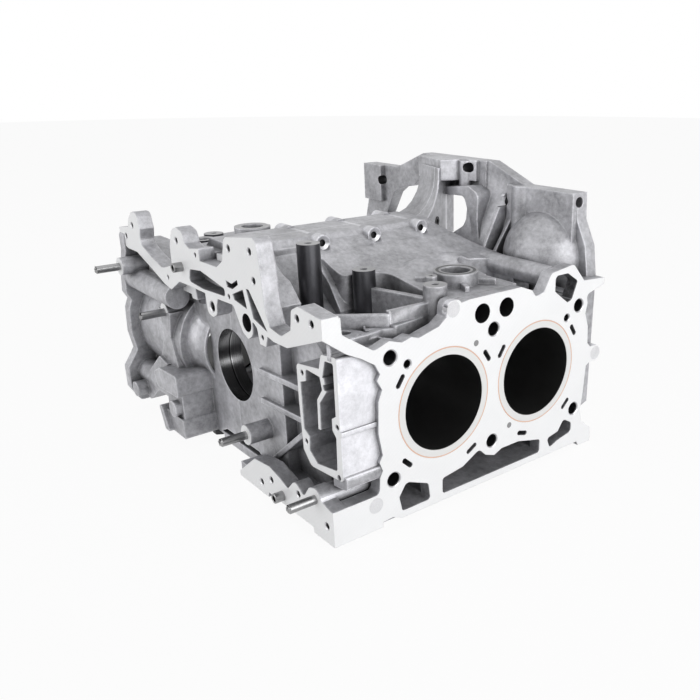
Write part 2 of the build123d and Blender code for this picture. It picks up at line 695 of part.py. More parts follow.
def low_block():
    """The block under the right barrel, with its rod, its lip and the ridge out to a small boss."""
    back = front_wall_y + 1
    upper = [(-118, -31, 6), (-100, -22, 10), (-58, -20, 4), (-58, -43, 3), (-110, -45, 8)]
    neck = [(-98, -40), (-60, -40), (-60, -72), (-98, -72)]
    bottom = [(-106, -68, 4), (-58, -68, 4), (-56, -rail_height), (-100, -rail_height, 6), (-108, -86, 4)]
    lip = [(-106, -64, 3), (-100, -64, 3), (-86, -88), (-88, -93), (-94, -92)]
    ridge = [(-124, -18), (-104, -22), (-112, -42), (-168, -82, 6), (-188, -74, 8), (-180, -60, 6)]
    return [
        along_y(upper, -38, back),
        along_y(neck, -33, back),
        rod_y(8.5, -40, back, -71, -58.5),
        along_y(bottom, -36, back + 1),
        along_y(lip, -41, -20),
        along_y(ridge, timing_y - 4, back),
        rod_y(8.5, -40, 0, -177, -69),
    ]


# Rings and posts on the top of the right half: X, Y, top Z, foot Z, radius, hole radius
right_posts = [
    (-60, 8, 113, 50, 11, 6),
    (-60, 61, 119, 60, 18, 11),
    (-152, 60, 98, 50, 10.5, 3.4),
    (-104, 130, 102, 60, 10.5, 3.4),
    (-150, 104, 96, 60, 12, 6),
]


def right_top():
    """Rings, posts and walls on the top of the right half."""
    parts = [rod_z(radius, foot, top, x, y) for x, y, top, foot, radius, hole in right_posts]
    side = -deck_inner - 2
    parts.append(along_z([(-100, 42), (side, 42), (side, 132), (-100, 132)], 40, 85))
    parts.append(along_z([(-60, 30), (-64, 26), (-154, 58), (-152, 63)], 45, 84))
    return parts


# Rear bell, drawn whole and then split on the joint plane

def bell():
    """The bell at the rear: flange, sloping wall, corner blocks, posts, gussets, bore and windows."""
    w, top, side = bell_half_width, bell_height, bell_shoulder_height
    inner_side = deck_height - deck_thickness
    flange = [
        (-62, top), (52, top), (104, side), (w, side), (w + 1, 130), (188, 106, 20), (inner_side + 2, 76),
        (inner_side, -60), (w - 17, -rail_height), (17 - w, -rail_height), (-inner_side, -60),
        (-inner_side, 60), (-w, 112), (-w, side), (-112, side),
    ]
    front, slope_end = bell_root_y, bell_flange_front
    body = along_y(flange, slope_end, bell_rear)
    body += cone_y(bell_root_radius, bell_radius + bell_wall, front, slope_end + 2)
    body += starter_dome(starter_radius) & block((0, w + 20), (0, slope_end + beyond), (0, side))
    body += block((-w, -140), (slope_end - bell_block_depth, bell_rear), (112, side))
    body += along_y([(84, side), (84, 112), (w, 92), (w, side)], slope_end - bell_block_depth, bell_rear)
    body += rod_z(bell_post_radius, 84, side, 101.5, slope_end)
    for x, reach, rise in ((79, 244, 146), (88, 252, 130)):
        body += along_x([(reach, 82), (reach + 34, rise), (slope_end + 4, rise), (slope_end + 4, 82)], x, x + 4)
    body += along_x([(258, 100), (slope_end, 130), (slope_end + 4, 130), (slope_end + 4, 90)], -109, -103)
    body -= cone_y(bell_root_radius, bell_radius, front + bell_wall, slope_end + 2)
    body -= rod_y(bell_radius, slope_end - beyond, bell_rear + beyond, 0, 0)
    body -= starter_dome(starter_radius - starter_wall)
    body += window_frame()
    for window in (centre_window, side_window):
        body -= along_y(window, front - 14, bell_rear + beyond)
    body += top_block()
    body += ramp()
    body -= block((-w - 50, w + 50), (front - 20, bell_rear + beyond), (-200, -rail_height))
    for x, z in bell_bolt_places:
        body -= rod_y(bell_bolt_radius, slope_end - 30, bell_rear + beyond, x, z)
    return body - rod_x(bell_bolt_radius, w - 18, w + 3, bell_rear - 11, 147)


# Centres (X, Z) of the bolt holes round the bell flange
bell_bolt_places = [(28, 168), (-140, 138), (81, 138), (-176, 0), (176, 0), (-140, -78), (140, -78)]

# Windows in the bell's wall, as (X, Z) outlines
centre_window = [
    (-10, 83), (13, 87), (18, 96), (33, 107, 5), (34, 114, 5), (30, 127, 6), (27, 137, 4), (-8, 136, 6),
    (-17, 96, 4),
]
side_window = [
    (-141, 90), (-120, 124, 6), (-108, 132), (-79, 137), (-65, 150, 6), (-46, 151), (-46, 100),
    (-96, 92),
]


def window_frame():
    """The rounded rib that runs round the near side of the window over the crank."""
    frame = [
        (0, 146), (41, 151, 12), (57, 144, 8), (56, 115, 20), (60, 88), (48, 88), (47, 108),
        (35, 140, 8), (0, 138),
    ]
    body = along_y(frame, bell_flange_front - window_rim - 8, bell_flange_front + beyond)
    inside = cone_y(bell_root_radius, bell_radius, bell_root_y + bell_wall, bell_flange_front + 2)
    return body - inside


def top_block():
    """The block on top of the bell, with the columns that run down from it."""
    front, top, low = bell_flange_front - bell_top_depth, bell_height, bell_height - 28
    outline = [(ramp_left - 4, front + 1), (8, front - 10), (13, front + 2), (16, front + 12),
               (36, front + 16), (36, bell_rear), (ramp_left - 4, bell_rear)]
    body = along_z(outline, low + 6, top)
    body += rod_z(7, low - 8, top - beyond, 20, front + 15)
    body += block((34, 48), (bell_flange_front - 2, bell_rear), (low, top))
    return body


def slanted_wall(offset):
    """What lies beyond the slanted side of the ramp, moved inwards by an offset."""
    (x1, y1), (x2, y2) = (40.6 - offset, 190.0), (-8.3 - offset, bell_flange_front)
    slope = (x2 - x1) / (y2 - y1)
    low, high = 150.0, bell_rear + 50
    return along_z([
        (x1 + slope * (low - y1), low), (x1 + slope * (high - y1), high), (150, high), (150, low),
    ], 60, 200)


def ramp():
    """The hollow ramp from the roof's ridge up to the block on top of the bell."""
    front, rear = bell_flange_front - bell_top_depth, bell_flange_front + beyond
    outline = [
        (198, 100), (198, ramp_top - 4), (229, ramp_top - 5), (242, ramp_top), (251, 127.5), (258, 137),
        (262, 146), (front, 156), (front, bell_height - 8), (rear + 40, bell_height - 8), (rear + 40, 92),
        (262, 92), (246, 100),
    ]
    width = ramp_right - ramp_left
    body = extrude(face(outline), width * hypot(1, ramp_turn), dir=(-ramp_turn, 0, 1))
    body = Plane.YZ.offset(ramp_left) * body
    solid = body & block((ramp_left, ramp_right), (150, rear), (90, bell_height))
    solid -= slanted_wall(0)
    hollow = [
        (case_rear, 80), (case_rear, 124), (front + ramp_wall, 146), (front + ramp_wall, 158),
        (bell_flange_front, 158), (bell_flange_front, 80),
    ]
    cavity = along_x(hollow, ramp_left + ramp_wall, ramp_right) - slanted_wall(ramp_wall)
    return solid - cavity


def starter_dome(radius):
    """The dome in the bell's wall that clears the starter."""
    return Pos(starter_x, bell_flange_front + 7.5, starter_z) * Sphere(radius)


# Loose pieces

def socket_plug_plane():
    """A plane on the slanted side of the ramp at the plug, facing inwards."""
    out = Vector(55, 28, 0).normalized()
    return Plane(origin=Vector(12.9, 244.4, 111.8) + out * 0.5, x_dir=(0, 0, 1), z_dir=out * -1)


def socket_plug():
    """The screwed plug in the side of the ramp, with a hexagon socket."""
    bar = extrude(Circle(socket_plug_radius), socket_plug_depth)
    socket = extrude(RegularPolygon(0.55 * socket_plug_radius, 6), 0.6 * socket_plug_depth)
    return socket_plug_plane() * (bar - socket)


def socket_plug_seat():
    """The hole that the socket plug fills."""
    return socket_plug_plane() * extrude(Circle(socket_plug_radius), socket_plug_depth)


def drain_plug():
    """The hexagon-headed drain plug under the front of the right half."""
    x, y = drain_plug_place
    head = Pos(x, y, drain_land - drain_plug_height) * extrude(
        RegularPolygon(drain_plug_radius, 6), drain_plug_height
    )
    return head + rod_z(drain_plug_shank, drain_land, drain_land + 2 * drain_plug_height, x, y)


def liner(y, side):
    """An iron cylinder liner, pressed in until it meets its step."""
    tube = rod_x(liner_radius, liner_start, deck_height, y, 0)
    tube -= rod_x(bore_radius, liner_start - beyond, deck_height + beyond, y, 0)
    return tube if side == LEFT else to_right(tube)


def sealing_rings():
    """The thin copper rings set flush round the liners."""
    rings = []
    for y in left_cylinders + right_cylinders:
        low = deck_height - ring_depth
        ring = rod_x(liner_radius + ring_width, low, deck_height, y, 0)
        ring -= rod_x(liner_radius, low - beyond, deck_height + beyond, y, 0)
        rings.append(ring if y in left_cylinders else to_right(ring))
    return Compound(children=rings)


def guide_pins(places):
    """Polished pins that stand out of their bosses."""
    return Compound(children=[
        rod_y(pin_radius, face_y - pin_reach, face_y + pin_seat, x, z) for x, z, face_y, root_y in places
    ])


def cover_dowels():
    """Short tubes that place the timing cover."""
    tubes = []
    for x, z in cover_dowel_places:
        tube = rod_y(dowel_radius, timing_y - dowel_reach, timing_y + dowel_seat, x, z)
        bore = rod_y(dowel_radius - dowel_wall, timing_y - 20, timing_y + 20, x, z)
        tubes.append(tube - bore)
    return Compound(children=tubes)


def case_dowels():
    """Pins across the joint that place the two halves on each other."""
    return Compound(children=[
        rod_x(case_dowel_radius, -case_dowel_half_length, case_dowel_half_length, y, z)
        for y, z in case_dowel_places()
    ])


def face_plugs(places, radius, depth, side):
    """Round plugs pressed flush into a head face."""
    plugs = [rod_x(radius, deck_height - depth, deck_height, y, z) for y, z in places]
    return Compound(children=[p if side == LEFT else to_right(p) for p in plugs])


def main():
    os.makedirs("parts", exist_ok=True)
    room = 400.0
    keep_left = block((0, room), (-room, room), (-room, room))
    keep_right = block((-room, 0), (-room, room), (-room, room))
    whole_bell = bell()
    shared_cuts = crank_cuts() + case_bolt_cuts() + timing_holes() + pin_cuts()
    pit, pit_floor = front_pit()
    roof = (crankcase_shell() + shoulder() + webs()) - pit - rear_slope() + pit_floor
    common = [roof, oil_rail()] + case_bosses()

    pocket, pocket_hollow, divider = left_pocket()
    left = along_x(deck_outline_left(), deck_inner, deck_height) + jackets(left_cylinders) + common
    left = left + [left_timing_plate(), pocket] + left_front() + low_flange() + left_top()
    left = left + pin_bosses(left_pins) - pocket_hollow + divider + (whole_bell & keep_left)
    left = left - deck_cuts(left_cylinders, LEFT) - shared_cuts - post_holes(left_posts) - port_holes()
    left = left - socket_plug_seat()

    right = along_x(deck_outline_right(), deck_inner, deck_height) + jackets(right_cylinders) + common
    right = to_right(right) + right_front() + barrel_front() + low_block() + right_top() + pin_bosses(right_pins)
    right = right + (whole_bell & keep_right)
    right = right - [to_right(cut) for cut in deck_cuts(right_cylinders, RIGHT)]
    right = right - shared_cuts - post_holes(right_posts) - drain_cuts()

    upper, lower = case_bolt_ends()
    nodes = {"case_half_left": left, "case_half_right": right}
    sides = {y: LEFT for y in left_cylinders} | {y: RIGHT for y in right_cylinders}
    for number, y in enumerate(throws, start=1):
        nodes[f"liner_{number}"] = liner(y, sides[y])
    nodes["sealing_rings"] = sealing_rings()
    nodes["guide_pins_left"] = guide_pins(left_pins)
    nodes["guide_pins_right"] = guide_pins(right_pins)
    nodes["cover_dowels"] = cover_dowels()
    nodes["case_dowels"] = case_dowels()
    nodes["drain_plug"] = drain_plug()
    nodes["socket_plug"] = socket_plug()
    nodes["case_bolts_upper"] = case_bolts(upper)
    nodes["case_bolts_lower"] = case_bolts(lower)
    for name, cylinders, side in (("left", left_cylinders, LEFT), ("right", right_cylinders, RIGHT)):
        nodes[f"gallery_plugs_{name}"] = face_plugs(plug_places(side), plug_radius, plug_depth, side)
        nodes[f"small_plugs_{name}"] = face_plugs(
            small_plug_places(cylinders), small_plug_radius, small_plug_depth, side
        )
    for name, shape in nodes.items():
        print(name, len(shape.solids()), round(shape.volume), len(shape.faces()))
        export_step(shape, f"parts/{name}.step")


main()
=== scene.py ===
# %% [markdown]
# # A flat-four engine block, dressed for the studio
# The block is two sand-cast aluminium halves bolted together, with iron liners, copper rings, steel pins,
# dowels and plugs. The packed model already has every solid at its true size, so this script adds what a
# photograph shows and a solid lacks: cast skin, milled faces, softened edges and small cast details.

# %% Load the packed model
from math import atan2, cos, hypot, pi, radians, sin

import bmesh
import bpy
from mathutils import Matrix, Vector


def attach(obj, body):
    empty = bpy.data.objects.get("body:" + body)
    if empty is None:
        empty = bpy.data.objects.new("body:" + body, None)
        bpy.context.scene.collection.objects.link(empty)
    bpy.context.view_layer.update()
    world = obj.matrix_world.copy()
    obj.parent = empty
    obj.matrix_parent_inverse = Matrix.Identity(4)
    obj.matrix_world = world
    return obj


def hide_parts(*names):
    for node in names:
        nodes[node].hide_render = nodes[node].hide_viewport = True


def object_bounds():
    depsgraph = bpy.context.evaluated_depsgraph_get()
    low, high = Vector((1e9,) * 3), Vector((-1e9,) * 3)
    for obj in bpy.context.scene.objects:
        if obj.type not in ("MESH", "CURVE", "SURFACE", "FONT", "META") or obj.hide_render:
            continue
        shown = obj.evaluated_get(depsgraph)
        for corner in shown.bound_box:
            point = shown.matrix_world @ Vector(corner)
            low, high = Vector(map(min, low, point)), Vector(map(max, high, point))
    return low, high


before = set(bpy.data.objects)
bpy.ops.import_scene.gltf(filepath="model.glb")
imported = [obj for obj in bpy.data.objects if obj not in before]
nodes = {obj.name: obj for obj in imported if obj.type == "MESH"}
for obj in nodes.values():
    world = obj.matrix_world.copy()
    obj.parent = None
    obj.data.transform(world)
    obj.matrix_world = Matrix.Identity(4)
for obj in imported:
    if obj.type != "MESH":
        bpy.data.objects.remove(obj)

MM = 0.001
cad_box = [list(corner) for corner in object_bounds()]
low, high = (Vector(corner) for corner in cad_box)
print("nodes", len(nodes), "box", [[round(v, 4) for v in corner] for corner in cad_box])

# %% [markdown]
# ## The camera
# A camera is where it stands, which way it looks and how long its lens is. The photograph was cut out of a
# wider one, so its centre isn't the lens's centre: the small shift puts that right without a turn.

# %% Camera
image_size = 700
focal_pixels = 793.0
lens_centre = (455.1, 362.9)
camera_azimuth, camera_elevation = radians(49.02), radians(20.44)
camera_place = Vector((680.96, -309.95, 269.65)) * MM
nearest, farthest = 0.01, 100.0

camera_data = bpy.data.cameras.new("camera")
camera = bpy.data.objects.new("camera", camera_data)
bpy.context.scene.collection.objects.link(camera)
camera_data.sensor_width = 36.0
camera_data.lens = camera_data.sensor_width * focal_pixels / image_size
camera_data.shift_x = (image_size / 2 - lens_centre[0]) / image_size
camera_data.shift_y = (lens_centre[1] - image_size / 2) / image_size
camera_data.clip_start, camera_data.clip_end = nearest, farthest
backward = Vector((
    sin(camera_azimuth) * cos(camera_elevation),
    -cos(camera_azimuth) * cos(camera_elevation),
    sin(camera_elevation),
))
camera.location = camera_place
camera.rotation_mode = "QUATERNION"
camera.rotation_quaternion = (-backward).to_track_quat("-Z", "Y")
bpy.context.scene.camera = camera
bpy.context.scene.view_settings.view_transform = "Standard"
print("lens", round(camera_data.lens, 2), "mm")

# %% [markdown]
# ## Shader sums
# A finish is a net of nodes, and most of them are plain arithmetic. Sums are easier to read than boxes and
# wires, so `Value` wraps one socket and Python's own operators add the Math nodes.


# %% Sums on sockets
class Value:
    """A shader socket that takes part in sums; each operator adds one Math node."""

    def __init__(self, finish, socket):
        self.finish, self.socket = finish, socket

    def __add__(self, other):
        return self.finish.maths("ADD", self, other)

    __radd__ = __add__

    def __sub__(self, other):
        return self.finish.maths("SUBTRACT", self, other)

    def __rsub__(self, other):
        return self.finish.maths("SUBTRACT", other, self)

    def __mul__(self, other):
        return self.finish.maths("MULTIPLY", self, other)

    __rmul__ = __mul__


print("sums on sockets ready")

# %% [markdown]
# ## Making a finish
# `Finish.node` adds any node from its type, settings and inputs. The short methods after it name what the
# metals of this block need again and again: noise of a given size, turned rings, shelter, a soft step.


# %% Finish
class Finish:
    """A material or world in the making."""

    def __init__(self, name, owner=None):
        self.owner = owner or bpy.data.materials.new(name)
        self.owner.use_nodes = True
        self.tree = self.owner.node_tree

    def node(self, kind, settings=(), inputs=(), output=0):
        """Adds a node: its settings first, then its inputs; gives back one output, wrapped."""
        made = self.tree.nodes.new(kind)
        for key, value in dict(settings).items():
            setattr(made, key, value)
        for key, value in dict(inputs).items():
            self.feed(made.inputs[key], value)
        return Value(self, made.outputs[output])

    def feed(self, socket, value):
        """Links a wrapped socket, or sets a plain value."""
        if isinstance(value, Value):
            self.tree.links.new(value.socket, socket)
        else:
            socket.default_value = value

    def maths(self, operation, first, second=0.0):
        return self.node("ShaderNodeMath", {"operation": operation}, {0: first, 1: second})

    def apart(self, value, place):
        """How far a value is from a place, on either side."""
        return self.maths("ABSOLUTE", value - place)

    def between(self, value, start, end):
        """0 below the start, 1 above the end and a smooth step between them."""
        return self.node(
            "ShaderNodeMapRange", {"interpolation_type": "SMOOTHSTEP"},
            {"Value": value, "From Min": start, "From Max": end, "To Min": 0.0, "To Max": 1.0},
        )

    def place(self):
        return self.node("ShaderNodeTexCoord", output="Object")

    def along(self, axis):
        """The place along X, Y or Z."""
        return self.node("ShaderNodeSeparateXYZ", {}, {"Vector": self.place()}, output=axis)

    def noise(self, size, detail=3.0, roughness=0.6):
        """Soft noise whose lumps are about this many metres across."""
        return self.node(
            "ShaderNodeTexNoise", {},
            {"Vector": self.place(), "Scale": 1.0 / size, "Detail": detail, "Roughness": roughness},
        )

    def turned_rings(self, per_metre, detail=2.0):
        """Rings about the Y axis, such as a boring bar or a grinding wheel leaves."""
        return self.node(
            "ShaderNodeTexNoise", {"noise_dimensions": "1D"},
            {"W": self.along("Y"), "Scale": per_metre, "Detail": detail},
        )

    def openness(self, reach, samples, inside=False):
        """1 where nothing stands within reach, 0 deep in a hollow; inside looks into the metal instead."""
        return self.node(
            "ShaderNodeAmbientOcclusion", {"samples": samples, "inside": inside},
            {"Distance": reach}, output="AO",
        )

    def rounded(self, radius, samples):
        """Normals as if every edge and root were rounded."""
        return self.node("ShaderNodeBevel", {"samples": samples}, {"Radius": radius})

    def uneven(self, level, *layers):
        """A level that wanders: each layer is a noise and how far it carries the level."""
        for noise, sway in layers:
            level = level + sway * (noise - 0.5)
        return level

    def tinted(self, tone, red, green, blue):
        """A colour from one tone, with its own share of it for each channel."""
        return self.node("ShaderNodeCombineColor", {}, {0: tone * red, 1: tone * green, 2: tone * blue})

    def bump(self, height, strength, distance, normal):
        return self.node(
            "ShaderNodeBump", {},
            {"Strength": strength, "Distance": distance, "Height": height, "Normal": normal},
        )

    def surface(self, **values):
        """Sets or links the Principled shader's own sockets."""
        names = {"colour": "Base Color", "metallic": "Metallic", "roughness": "Roughness", "normal": "Normal"}
        shader = self.tree.nodes["Principled BSDF"]
        for key, value in values.items():
            self.feed(shader.inputs[names[key]], value)
        return self.owner


def grey(value):
    return (value, value, value, 1.0)


print("finish methods", sum(1 for name in vars(Finish) if not name.startswith("_")))

# %% [markdown]
# ## Floor
# The block stands in a plain white studio. The floor is a large disc that shows white to the camera and still
# takes a soft shadow: its material mixes a plain pale paint with white light, which only some rays see.

# %% Floor
floor_radius, floor_gap = 6.0, 0.5 * MM
floor_place = (0, 0.1, low.z - floor_gap)
floor_paint, white_share = 0.8, 0.94

bpy.ops.object.select_all(action="DESELECT")
bpy.ops.mesh.primitive_circle_add(vertices=96, radius=floor_radius, fill_type="NGON", location=floor_place)
floor = bpy.context.object
floor.name = "floor"
bpy.ops.object.transform_apply()


def seen_white(finish):
    """1 for the rays that show the white studio: the camera's own, and those off metal or through glass."""
    rays = finish.node("ShaderNodeLightPath").socket.node.outputs
    camera_ray, glossy_ray, glass_ray = (
        Value(finish, rays[name]) for name in ("Is Camera Ray", "Is Glossy Ray", "Is Transmission Ray")
    )
    return finish.maths("MINIMUM", camera_ray + glossy_ray + glass_ray, 1.0)


floor_finish = Finish("floor_white")
paint = floor_finish.node("ShaderNodeBsdfDiffuse", {}, {"Color": grey(floor_paint)})
white = floor_finish.node("ShaderNodeEmission", {}, {"Color": grey(1.0), "Strength": 1.0})
mixed = floor_finish.node(
    "ShaderNodeMixShader", {}, {0: seen_white(floor_finish) * white_share, 1: paint, 2: white},
)
floor_finish.feed(floor_finish.tree.nodes["Material Output"].inputs["Surface"], mixed)
floor.data.materials.append(floor_finish.owner)
print("floor at", round(floor_place[2], 4))

# %% [markdown]
# ## Air
# The world gives the even light of a white room. The camera sees it at full white, while it lights the block
# with less than a third of that, so that the softboxes can model the forms.

# %% Air
air_level = 0.30

world = bpy.data.worlds.new("studio")
bpy.context.scene.world = world
air = Finish("studio", world)
background = air.tree.nodes["Background"]
background.inputs["Color"].default_value = grey(1.0)
air.feed(background.inputs["Strength"], seen_white(air) * (1.0 - air_level) + air_level)
print("air level", air_level)

# %% [markdown]
# ## Softboxes
# The photograph has its brightest faces on the right and darker ones in front, with hardly any light from
# above. So a big softbox stands on the right, a weaker one in front, and a faint one hangs over the block.


# %% Softboxes
def softbox(name, place, aim, size, level):
    """A square lamp at a place, facing a point; level is the brightness of its face, where 1 is white."""
    data = bpy.data.lights.new(name, "AREA")
    data.shape = "RECTANGLE"
    data.size, data.size_y = size
    data.energy = level * pi * size[0] * size[1]
    lamp = bpy.data.objects.new(name, data)
    bpy.context.scene.collection.objects.link(lamp)
    lamp.location = Vector(place)
    lamp.rotation_mode = "QUATERNION"
    lamp.rotation_quaternion = (Vector(aim) - Vector(place)).to_track_quat("-Z", "Y")
    return lamp


middle = (0.0, 0.13, 0.04)
lamps = [
    softbox("right", (1.8, 0.3, 0.5), middle, (1.8, 1.5), 2.9),
    softbox("front", (-0.5, -1.8, 0.5), middle, (1.8, 1.4), 1.9),
    softbox("top", (-0.2, 0.5, 1.8), middle, (1.8, 1.8), 0.4),
]
print("softboxes", [lamp.name for lamp in lamps])

# %% [markdown]
# ## Cast skin
# Sand casting leaves a satin skin: fine grain from the sand and patches from the blasting that cleans it,
# while the broadest patches paint soft reflections. Shade is painted into hollows and roots, and highlights
# onto edges, which on the thinnest edges are partly rubbed wear. The Bevel node softens every edge and root
# as the mould does, and Ambient Occlusion finds the hollows from outside and the edges from inside, so the
# painted shade and highlights follow any shape.

# %% Cast aluminium
mould_radius = 2.2 * MM
hollow_reach, root_reach, edge_reach = 28 * MM, 7 * MM, 3.2 * MM
darkest = 0.02


def cast_aluminium(name, base, metal):
    """Cast skin about a base tone, from broad patches of painted sheen down to sand grain, with painted shade
    in hollows and roots and painted highlights on edges.
    """
    skin = Finish(name)
    rounded = skin.rounded(mould_radius, 6)
    sharp = skin.node("ShaderNodeNewGeometry", output="Normal")
    agree = skin.node("ShaderNodeVectorMath", {"operation": "DOT_PRODUCT"}, {0: rounded, 1: sharp}, output=1)
    edge = skin.between(1.0 - agree, 0.01, 0.25)
    wear_and_edge_highlight = skin.between(1.0 - skin.openness(edge_reach, 5, inside=True), 0.30, 0.75)
    hollow_light = skin.between(skin.openness(hollow_reach, 6), 0.05, 0.85)
    root_light = skin.between(skin.openness(root_reach, 5), 0.25, 0.90)

    broad_painted_sheen, patches = skin.noise(60 * MM, 2.0, 0.5), skin.noise(26 * MM, 4.0)
    mottle, grain = skin.noise(5 * MM, 4.0, 0.65), skin.noise(0.9 * MM)
    # The broad layer paints soft reflections as wide light and dark patches; the other layers are random
    # tone.
    tone = skin.uneven(base, (patches, 0.44), (mottle, 0.46), (grain, 0.22), (broad_painted_sheen, 0.30))
    # Painted light and shade: the edge and rubbed-edge terms are painted highlights on edges, the rubbed one
    # partly wear, and the hollow and root terms paint shade.
    tone = (tone + 0.14 * edge + 0.26 * wear_and_edge_highlight) * (0.50 + 0.50 * hollow_light) * (0.58 + 0.42 * root_light)
    colour = skin.tinted(skin.maths("MAXIMUM", tone, darkest), 1.0, 1.0, 1.05)
    rough = skin.uneven(0.47, (mottle, 0.24), (grain, 0.14)) - 0.10 * wear_and_edge_highlight

    lumps = skin.noise(16 * MM, 1.0, 0.4)
    bump = skin.bump(0.08 * grain + 0.16 * mottle + lumps, 0.8, 1.5 * MM, rounded)
    return skin.surface(colour=colour, metallic=metal, roughness=rough, normal=bump)


cast_finish = cast_aluminium("cast_aluminium", 0.42, 0.55)
# A lighter copy of the cast skin that paints light on faces turned to the right softbox.
lit_cast_finish = cast_aluminium("cast_aluminium_painted_light", 0.78, 0.3)
# A darker copy of the cast skin that paints shade on faces shut in behind a head face's opening.
shaded_cast_finish = cast_aluminium("cast_aluminium_painted_shade", 0.14, 0.5)
print(cast_finish.name, lit_cast_finish.name, shaded_cast_finish.name)

# %% [markdown]
# ## Milled faces
# The faces that seal are milled after casting. They are nearly white, with very fine parallel cutter marks.
# A Wave texture draws such marks, and a Mapping node turns it so that they cross every face at a slant.

# %% Milled aluminium
cutter_turn = (radians(52), 0, radians(35))


def milled_aluminium():
    """Bright metal with cutter marks under a faint cloud."""
    face = Finish("milled_aluminium")
    turned = face.node("ShaderNodeMapping", {}, {"Vector": face.place(), "Rotation": cutter_turn})
    marks = face.node(
        "ShaderNodeTexWave", {"wave_type": "BANDS", "bands_direction": "Y"},
        {"Vector": turned, "Scale": 120.0, "Distortion": 0.6, "Detail": 2.0, "Detail Scale": 3.0},
    )
    cloud, fine = face.noise(30 * MM), face.noise(1.2 * MM)
    tone = face.uneven(0.88, (cloud, 0.05), (fine, 0.04), (marks, 0.01))
    rough = face.uneven(0.38, (cloud, 0.10)) + 0.05 * marks
    bump = face.bump(marks + fine, 0.2, 0.05 * MM, face.rounded(0.6 * MM, 4))
    colour = face.tinted(tone, 0.995, 1.0, 1.01)
    return face.surface(colour=colour, metallic=0.2, roughness=rough, normal=bump)


milled_finish = milled_aluminium()
print(milled_finish.name)

# %% [markdown]
# ## Bored and turned aluminium
# A boring bar leaves fine rings in the crank's bore, which also has a groove: its shade is painted dark and
# its lip gets a painted highlight. The posts and the ring on the roof are faced off by a cutter. The thin
# groove in the ring is painted as a dark line of shade, drawn by the distance from the ring's centre.

# %% Bored and turned aluminium
bore_groove, bore_lip = 12 * MM, 13.2 * MM
ring_centre, ring_groove = (154 * MM, 148.5 * MM, 0), 17 * MM


def bored_aluminium():
    """The crank's bore: bright rings, painted shade in its groove and a painted highlight on the groove's
    lip.
    """
    bore = Finish("bored_aluminium")
    depth = bore.along("Y")
    groove = bore.between(bore.apart(depth, bore_groove), 0.5 * MM, 0.9 * MM)
    lip_highlight = 1.0 - bore.between(bore.apart(depth, bore_lip), 0.2 * MM, 0.5 * MM)
    # The groove's shade and the lip's highlight are painted.
    tone = bore.uneven(0.26, (bore.turned_rings(1400.0, 4.0), 0.34)) * (0.25 + 0.75 * groove) + 0.3 * lip_highlight
    return bore.surface(colour=bore.tinted(tone, 1.0, 1.0, 1.02), metallic=0.95, roughness=0.26)


def turned_aluminium():
    """The tops of the posts and of the ring, with painted shade in the ring's groove."""
    top = Finish("turned_aluminium")
    flat = top.node("ShaderNodeVectorMath", {"operation": "MULTIPLY"}, {0: top.place(), 1: (1, 1, 0)})
    reach = top.node(
        "ShaderNodeVectorMath", {"operation": "DISTANCE"}, {0: flat, 1: ring_centre}, output="Value",
    )
    groove = 1.0 - top.between(top.apart(reach, ring_groove), 1.2 * MM, 1.7 * MM)
    fine, wear_and_edge_highlight = top.noise(1.6 * MM), top.noise(9 * MM)
    # The ring's groove is painted dark, as shade.
    tone = top.uneven(0.42, (fine, 0.20), (wear_and_edge_highlight, 0.16)) * (1.0 - 0.80 * groove)
    return top.surface(colour=top.tinted(tone, 1.0, 1.0, 1.02), metallic=0.3, roughness=0.4)


bored_finish, turned_finish = bored_aluminium(), turned_aluminium()
print(bored_finish.name, turned_finish.name)

# %% [markdown]
# ## Iron, steel, copper and the dark metals
# The liners are dark honed iron with a bright faced rim, painted near black inside as the shade of the bore,
# and the pins are ground steel. The other metals differ only in colour, gloss and grain, so one function
# makes them all;
# a near-black one paints shade in the holes and another on the smooth sides of some posts, and the dark bolt
# steel also paints the shade in the sockets of the bolt heads.

# %% Iron, steel and plain metals
rim_height = 0.4 * MM


def liner_iron():
    """Dark honed iron, painted near black inside as the shade of the bore, and bright on the rim that is
    faced off with the head face.
    """
    iron = Finish("liner_iron")
    rim = iron.between(iron.apart(iron.along("X"), 0.0), high.x - rim_height, high.x - rim_height / 2)
    hone, stain = iron.noise(1.2 * MM, 4.0), iron.noise(22 * MM)
    # Dark iron, painted near black for the shade deep in the bore.
    iron_and_bore_shade = 0.016 + 0.014 * stain + 0.010 * hone
    tone = iron_and_bore_shade * (1.0 - rim) + 0.75 * rim
    rough = iron.uneven(0.45, (stain, 0.1))
    return iron.surface(colour=iron.tinted(tone, 1.0, 1.0, 0.99), metallic=0.5 - 0.2 * rim, roughness=rough)


def ground_steel():
    """Smooth steel with a faint ring pattern from grinding."""
    steel = Finish("pin_steel")
    tone = steel.uneven(0.30, (steel.turned_rings(900.0), 0.10))
    return steel.surface(colour=steel.tinted(tone, 1.0, 1.0, 1.01), metallic=1.0, roughness=0.28)


def plain_metal(name, colour, metallic, roughness, grain):
    """A metal of one colour with a fine grain and a little wear."""
    metal = Finish(name)
    fine, wear_and_edge_highlight = metal.noise(grain), metal.noise(9 * MM)
    tint = metal.tinted(metal.uneven(0.85, (fine, 0.3), (wear_and_edge_highlight, 0.2)), *colour)
    return metal.surface(colour=tint, metallic=metallic, roughness=metal.uneven(roughness, (wear_and_edge_highlight, 0.15)))


iron_finish, steel_finish = liner_iron(), ground_steel()
# A near-black smooth metal that paints shade on the sides of the listed posts.
post_shade_finish = plain_metal("post_painted_shade", (0.115, 0.115, 0.125), 0.9, 0.34, 1.2 * MM)
chamfer_finish = plain_metal("turned_chamfer", (0.62, 0.62, 0.64), 0.7, 0.30, 0.6 * MM)
